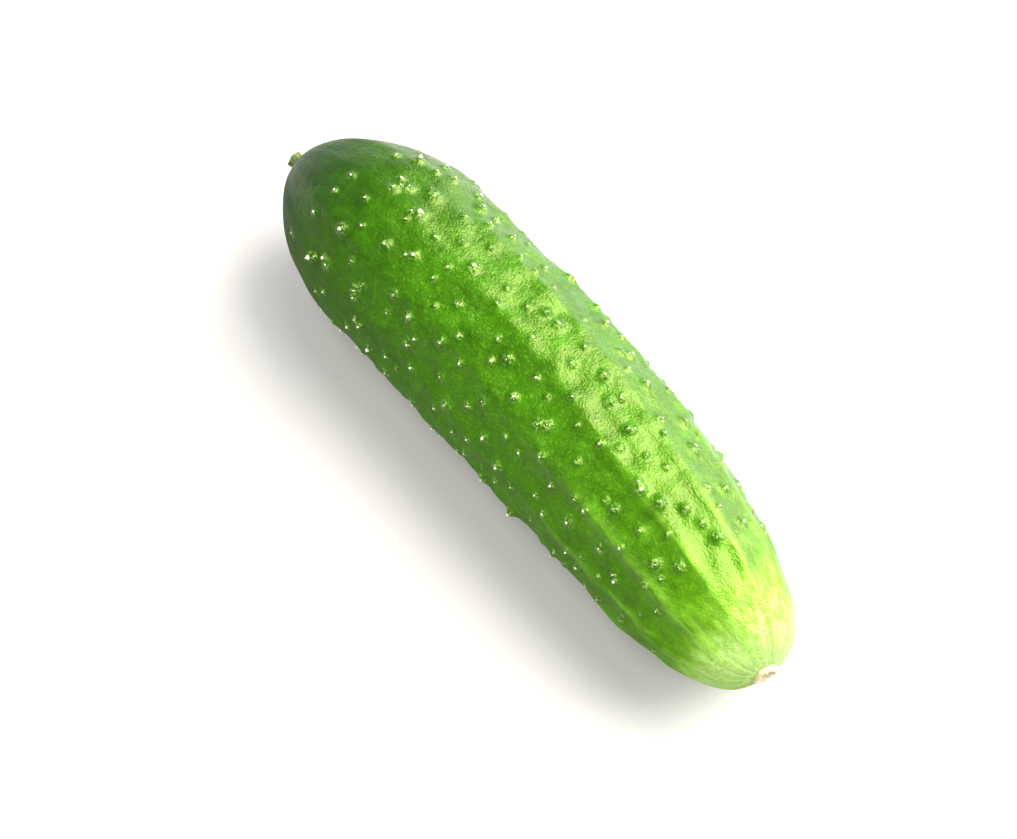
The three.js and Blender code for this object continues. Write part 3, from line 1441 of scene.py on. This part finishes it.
@dataclass
class StalkStub(EndPiece):
    """What is left of the stalk: five-sided, wide at the root, waisted, and torn off square."""

    sunk: float = 0.6
    length: float = 1.15
    root: float = 1.85
    waist: float = 1.25
    end: float = 1.38
    narrowing: float = 6.0
    dish: float = 0.22
    dish_ripple: float = 0.05
    dish_ripples: float = 14.0
    hole: float = 0.04
    rim_share: float = 0.4
    wall_rings: int = 40
    end_rings: int = 18
    corners: Wave = Wave(0.09, around=5, phase=0.5)
    fibres: int = 29
    fibre_depth: float = 0.022
    fibre_wind: float = 1.4
    tear: tuple[Wave, ...] = (
        Wave(0.12, around=1, phase=-0.8),
        Wave(0.06, around=3, phase=1.0),
        Wave(0.03, around=11),
    )

    def outline(self) -> tuple[Array, Array, Array]:
        """The wall narrows from root to waist and widens to the end; the end is dished.

        The wall's fall is exp(-narrowing * t). The dish is a parabola with a fine ripple. It turns
        to the hollow's colour over its rim, and the hole is its last ring, as a share of the end.

        Returns:
            Radius, height and hollow value of each ring.
        """
        t = np.linspace(0.0, 1.0, self.wall_rings)
        wall = self.waist + (self.root - self.waist) * np.exp(-self.narrowing * t)
        wall = wall + (self.end - self.waist) * smoothstep(t, 0.5, 1.0)
        across = np.linspace(1.0, self.hole, self.end_rings + 1)[1:]
        cap = self.end * across
        dish = self.length - self.dish * (1.0 - across**2)
        dish = dish + self.dish_ripple * np.cos(across * self.dish_ripples)
        radius = np.concatenate([wall, cap])
        height = np.concatenate([-self.sunk + (self.length + self.sunk) * t, dish])
        hollow_cap = smoothstep(1.0 - across, 0.0, self.rim_share)
        hollow = np.concatenate([np.zeros(self.wall_rings), hollow_cap])
        return radius, height, hollow

    def shape(self, radius: Array, height: Array, turn: Array) -> tuple[Array, Array]:
        """Five soft corners, fine fibres, and a torn edge that stands higher on one side.

        Corners and fibres are cosines of the turn that scale the radius. The tear is a sum of
        cosines that lifts the outer half of the stub more and more.

        Args:
            radius: radius of each ring.
            height: height of each ring.
            turn: angle of each side.

        Returns:
            Radius and height of each point.
        """
        corner = 1.0 + self.corners.at(turn)
        wound = self.fibres * turn + self.fibre_wind * height
        fibre = 1.0 + self.fibre_depth * np.cos(wound)
        slant = sum(wave.at(turn) for wave in self.tear)
        torn = height + slant * smoothstep(height, 0.5 * self.length, self.length)
        return radius * corner * fibre, torn


@dataclass
class BlossomScar(EndPiece):
    """The corky ring where the flower sat, with a dark pit in its middle."""

    sunk: float = 0.5
    radius: float = 2.3
    crest: float = 1.6
    crest_height: float = 0.75
    pit: float = 0.7
    pit_floor: float = 0.1
    pit_dark: Span = (0.35, 0.95)
    hole: float = 0.03
    cracks: int = 17
    crack_depth: float = 0.20
    crack_wander: float = 1.5
    crack_sharpness: float = 6.0
    lobes: tuple[Wave, ...] = (Wave(0.06, around=3, phase=0.7), Wave(0.04, around=5, phase=2.0))
    rim: tuple[Wave, ...] = (Wave(0.14, around=1, phase=-0.6), Wave(0.06, around=7))
    wall_rings: int = 30
    pit_rings: int = 22

    def outline(self) -> tuple[Array, Array, Array]:
        """The ring rises as a quarter sine from its edge to its crest and falls into the pit.

        Returns:
            Radius, height and hollow value of each ring.
        """
        rise = np.linspace(0.0, 1.0, self.wall_rings)
        outer = self.radius - (self.radius - self.crest) * rise**2
        outer_height = -self.sunk + (self.crest_height + self.sunk) * np.sin(rise * math.pi / 2.0)
        inward = np.linspace(0.0, 1.0, self.pit_rings + 1)[1:]
        inner = self.crest * (1.0 - (1.0 - self.hole) * inward)
        falling = smoothstep(inner, self.pit * 0.5, self.crest)
        inner_height = self.pit_floor + (self.crest_height - self.pit_floor) * falling
        radius = np.concatenate([outer, inner])
        height = np.concatenate([outer_height, inner_height])
        darkness = 1.0 - smoothstep(inner, *self.pit_dark)
        hollow = np.concatenate([np.zeros(self.wall_rings), darkness])
        return radius, height, hollow

    def shape(self, radius: Array, height: Array, turn: Array) -> tuple[Array, Array]:
        """An uneven outline with radial cracks, highest on one side.

        The outline is 1 plus the lobes' cosines. The cracks are a sharpened cosine whose waves are
        uneven, and like the other waves of the rim they grow with its height.

        Args:
            radius: radius of each ring.
            height: height of each ring.
            turn: angle of each side.

        Returns:
            Radius and height of each point.
        """
        lobe = 1.0 + sum(wave.at(turn) for wave in self.lobes)
        uneven = self.cracks * turn + self.crack_wander * np.sin(2.0 * turn)
        crack = (0.5 + 0.5 * np.cos(uneven)) ** self.crack_sharpness
        raised = smoothstep(height, 0.0, self.crest_height)
        waves = sum(wave.at(turn) for wave in self.rim)
        return radius * lobe, height + raised * (waves - self.crack_depth * crack)


# ---------------------------------------------------------------------------------------------
# Studio
# ---------------------------------------------------------------------------------------------


@dataclass(frozen=True)
class SoftBox:
    """A rectangle of soft light, aimed at the fruit.

    The bearing is the angle from +X towards +Y of the light's place, and the height angle is how
    far it stands above the floor, both in degrees. Lengths are in metres and the power in watts.
    A light that isn't mirrored leaves no highlight, and none of the lights shows itself.
    """

    name: str
    bearing: float
    height_angle: float
    distance: float
    width: float
    tall: float
    power: float
    tint: Colour = (1.0, 0.95, 0.87)
    mirrored: bool = True

    def hang(self, target: Vector) -> None:
        """Puts the light up and aims it.

        Args:
            target: point that it is aimed at.
        """
        light = bpy.data.lights.new(self.name, "AREA")
        light.shape = "RECTANGLE"
        light.size = self.width
        light.size_y = self.tall
        light.energy = self.power
        light.color = self.tint
        lamp = bpy.data.objects.new(self.name, light)
        lamp.visible_glossy = self.mirrored
        lamp.visible_camera = False
        bearing, raised = math.radians(self.bearing), math.radians(self.height_angle)
        level = math.cos(raised)
        away = Vector((math.cos(bearing) * level, math.sin(bearing) * level, math.sin(raised)))
        lamp.location = target + away * self.distance
        lamp.rotation_euler = away.to_track_quat("Z", "Y").to_euler()
        bpy.context.scene.collection.objects.link(lamp)


@dataclass
class Studio:
    """A pale floor, soft light from the bowed side, and the camera.

    The field width is how many millimetres of the fruit's place the picture takes in from side to
    side. The aims shift the picture's middle from the middle of the fruit, in millimetres.
    """

    floor_half: float = 1.5
    floor_colour: Colour = (0.50, 0.51, 0.525)
    floor_roughness: float = 0.32
    floor_scale: float = 3.0
    floor_unevenness: float = 0.04
    air_colour: Colour = (1.0, 1.0, 1.0)
    air_strength: float = 0.27
    softboxes: tuple[SoftBox, ...] = (
        SoftBox(
            "key", bearing=72.0, height_angle=43.0, distance=0.9, width=1.0, tall=0.9, power=31.0
        ),
        SoftBox(
            "top", bearing=80.0, height_angle=74.0, distance=0.9, width=0.9, tall=0.3, power=2.5
        ),
        SoftBox(
            "edge", bearing=92.0, height_angle=14.0, distance=0.9, width=1.0, tall=0.3, power=4.0
        ),
        SoftBox(
            "fill", bearing=255.0, height_angle=58.0, distance=1.3, width=1.2, tall=1.2,
            power=21.0, mirrored=False,
        ),
    )
    azimuth: float = 50.5
    elevation: float = 65.0
    camera_distance: float = 0.600
    nearest: float = 0.01
    sensor_width: float = 36.0
    field_width: float = 167.27
    aim_right: float = -5.15
    aim_up: float = -3.67

    def lay_floor(self) -> bpy.types.Object:
        """Lays the pale floor that the fruit rests on.

        Returns:
            The floor.
        """
        signs = np.array([[-1.0, -1.0, 0.0], [1.0, -1.0, 0.0], [1.0, 1.0, 0.0], [-1.0, 1.0, 0.0]])
        corners = signs * self.floor_half / MM
        floor = store_mesh("floor", corners, np.array([[0, 1, 2, 3]]), np.zeros((0, 3), dtype=int))
        material, w, shader = new_material("floor")
        where = w.add("ShaderNodeTexCoord").outputs["Object"]
        cloud = w.noise(where, self.floor_scale)
        rough = w.math("MULTIPLY_ADD", cloud, self.floor_unevenness, self.floor_roughness)
        shader.inputs["Base Color"].default_value = (*self.floor_colour, 1.0)
        w.feed(shader.inputs["Roughness"], rough)
        floor.data.materials.append(material)
        return floor

    def light(self, target: Vector) -> None:
        """Fills the air with soft light and hangs the softboxes.

        Args:
            target: point that they are aimed at.
        """
        world = bpy.data.worlds.new("air")
        bpy.context.scene.world = world
        world.use_nodes = True
        w = Wiring(world.node_tree)
        background = w.add("ShaderNodeBackground")
        background.inputs["Color"].default_value = (*self.air_colour, 1.0)
        background.inputs["Strength"].default_value = self.air_strength
        out = w.add("ShaderNodeOutputWorld")
        w.feed(out.inputs["Surface"], background.outputs[0])
        for softbox in self.softboxes:
            softbox.hang(target)

    def set_camera(self, target: Vector) -> bpy.types.Object:
        """Sets the camera up to look down along its azimuth and elevation.

        Args:
            target: middle of the fruit.

        Returns:
            The camera.
        """
        azimuth, elevation = math.radians(self.azimuth), math.radians(self.elevation)
        level = math.cos(elevation)
        back = Vector((math.sin(azimuth) * level, -math.cos(azimuth) * level, math.sin(elevation)))
        right = Vector((math.cos(azimuth), math.sin(azimuth), 0.0))
        upward = back.cross(right)
        camera = bpy.data.objects.new("camera", bpy.data.cameras.new("camera"))
        camera.data.sensor_width = self.sensor_width
        camera.data.lens = self.sensor_width * self.camera_distance / MM / self.field_width
        camera.data.clip_start = self.nearest
        aim = target + (right * self.aim_right + upward * self.aim_up) * MM
        turned = Matrix((right, upward, back)).transposed()
        place = Matrix.Translation(aim + back * self.camera_distance)
        camera.matrix_world = place @ turned.to_4x4()
        bpy.context.scene.collection.objects.link(camera)
        bpy.context.scene.camera = camera
        return camera

    def set_picture(self) -> None:
        """Shows colours as they are, without a film curve."""
        bpy.context.scene.view_settings.view_transform = "Standard"


def report(piece: bpy.types.Object) -> None:
    """Logs the name and the number of faces of a finished piece."""
    log.info("%s: %d faces", piece.name, len(piece.data.polygons))


def main() -> None:
    """Builds the fruit's pieces in order, then the studio around it."""
    logging.basicConfig(level=logging.INFO, format="%(name)s: %(message)s")
    form = FruitForm()
    skin = Skin(form, WartField(form))
    skin_piece = skin.build()
    skin.dress(skin_piece, SkinFinish())
    report(skin_piece)

    spines = Spines(skin)
    spines_piece = spines.build()
    spines.dress(spines_piece, SpineFinish())
    report(spines_piece)

    stub = StalkStub(skin, Tip.STEM, name="stalk_stub", node="stem_stub", slot="stalk")
    stub_piece = stub.build()
    stub.dress(stub_piece, STALK_FINISH)
    report(stub_piece)

    scar = BlossomScar(skin, Tip.BLOSSOM, name="flower_scar", node="blossom_scar", slot="scar")
    scar_piece = scar.build()
    scar.dress(scar_piece, CORK_FINISH)
    report(scar_piece)

    low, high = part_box("fruit")
    target = (low + high) / 2.0
    studio = Studio()
    report(studio.lay_floor())
    studio.light(target)
    studio.set_camera(target)
    studio.set_picture()


if __name__ == "__main__":
    main()
